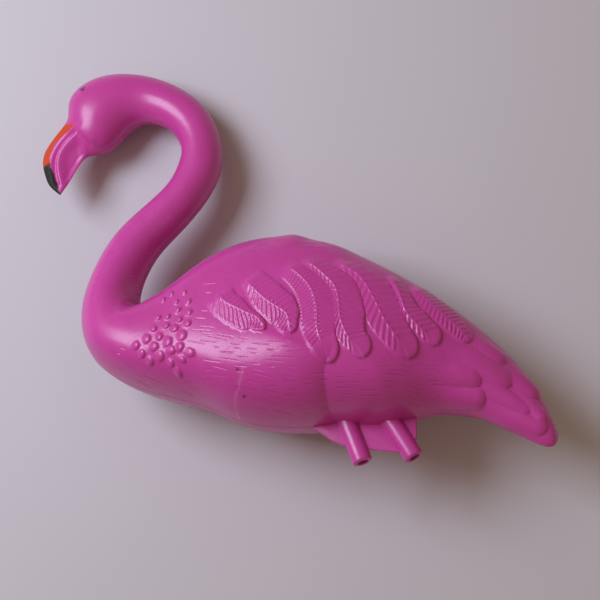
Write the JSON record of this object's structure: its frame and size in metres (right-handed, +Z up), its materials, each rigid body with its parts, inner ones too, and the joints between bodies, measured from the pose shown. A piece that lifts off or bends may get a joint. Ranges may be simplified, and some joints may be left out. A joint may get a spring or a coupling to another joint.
{
  "type": "flamingo lawn ornament",
  "caption": "Pink blow-moulded plastic flamingo lawn ornament without its legs, lying on one flank, with an S-curved neck, feather relief and open leg sockets under the belly.",
  "frame": {"origin": "middle of the part's outline seen from above, on the surface that it lies on", "axes": "+Z up, out of the left flank; -Y the way the legs would point; +X towards the tail; head at the +Y end"},
  "size_m": [0.3754, 0.5904, 0.1543],
  "materials": {
    "pink_plastic": "glossy moulded pink, with painted bill and eyes"
  },
  "bodies": {
    "root": {"flamingo": "pink_plastic"}
  },
  "joints": []
}
